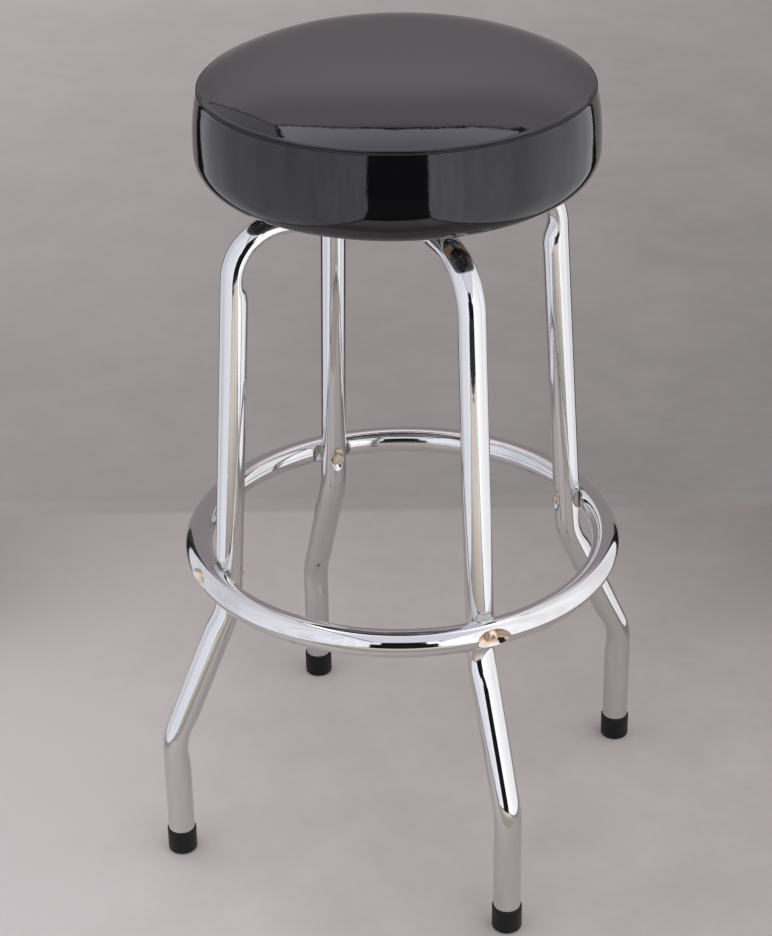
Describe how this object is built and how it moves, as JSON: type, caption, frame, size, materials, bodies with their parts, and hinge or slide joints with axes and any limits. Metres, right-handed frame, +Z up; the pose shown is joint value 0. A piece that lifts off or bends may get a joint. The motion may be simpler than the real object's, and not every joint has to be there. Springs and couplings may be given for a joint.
{
  "type": "swivel bar stool",
  "caption": "Bar stool with a round padded seat on a ball swivel, bent tube legs and a round foot ring outside them.",
  "frame": {"origin": "on the floor, in the middle of the four feet, under the swivel's axis", "axes": "+Z up along the swivel's axis, -Y to the front between the two front legs, +X to the right"},
  "size_m": [0.411, 0.411, 0.777],
  "materials": {
    "vinyl": "glossy black vinyl, smooth, with a soft clear sheen",
    "foam": "open-cell foam",
    "plywood": "bare plywood",
    "staple_wire": "galvanised wire",
    "plate_steel": "pressed steel, zinc plated",
    "zinc_steel": "zinc plated",
    "ring_bolt_steel": "zinc plated with a warm tint",
    "cage_brass": "pressed brass",
    "ball_steel": "polished",
    "chrome_tube": "bright chrome plate",
    "cap_rubber": "black moulded rubber, satin"
  },
  "bodies": {
    "base": {"swivel_lower_plate": "plate_steel", "centre_pin": "zinc_steel", "pin_washer": "zinc_steel", "pin_nut": "zinc_steel", "leg_front_right": "chrome_tube", "leg_back_right": "chrome_tube", "leg_back_left": "chrome_tube", "leg_front_left": "chrome_tube", "leg_bolts": "zinc_steel", "leg_washers": "zinc_steel", "leg_nuts": "zinc_steel", "foot_ring": "chrome_tube", "ring_bolts": "ring_bolt_steel", "ring_nuts": "ring_bolt_steel", "cap_front_right": "cap_rubber", "cap_back_right": "cap_rubber", "cap_back_left": "cap_rubber", "cap_front_left": "cap_rubber", "cap_discs": "zinc_steel"},
    "bearing": {"ball_cage": "cage_brass", "swivel_balls": "ball_steel"},
    "seat": {"seat_cover_top": "vinyl", "seat_cover_band": "vinyl", "seat_foam": "foam", "seat_board": "plywood", "cover_staples": "staple_wire", "swivel_upper_plate": "plate_steel", "plate_screws": "zinc_steel"}
  },
  "joints": [
    {"name": "seat_swivel", "type": "hinge", "parent": "base", "child": "seat", "pos_m": [0, 0, 0.656], "axis": [0, 0, 1], "continuous": true},
    {"name": "bearing_roll", "type": "hinge", "parent": "base", "child": "bearing", "pos_m": [0, 0, 0.656], "axis": [0, 0, 1], "continuous": true}
  ],
  "couplings": [
    {"joint": "bearing_roll", "follows": "seat_swivel", "ratio": 0.5}
  ]
}
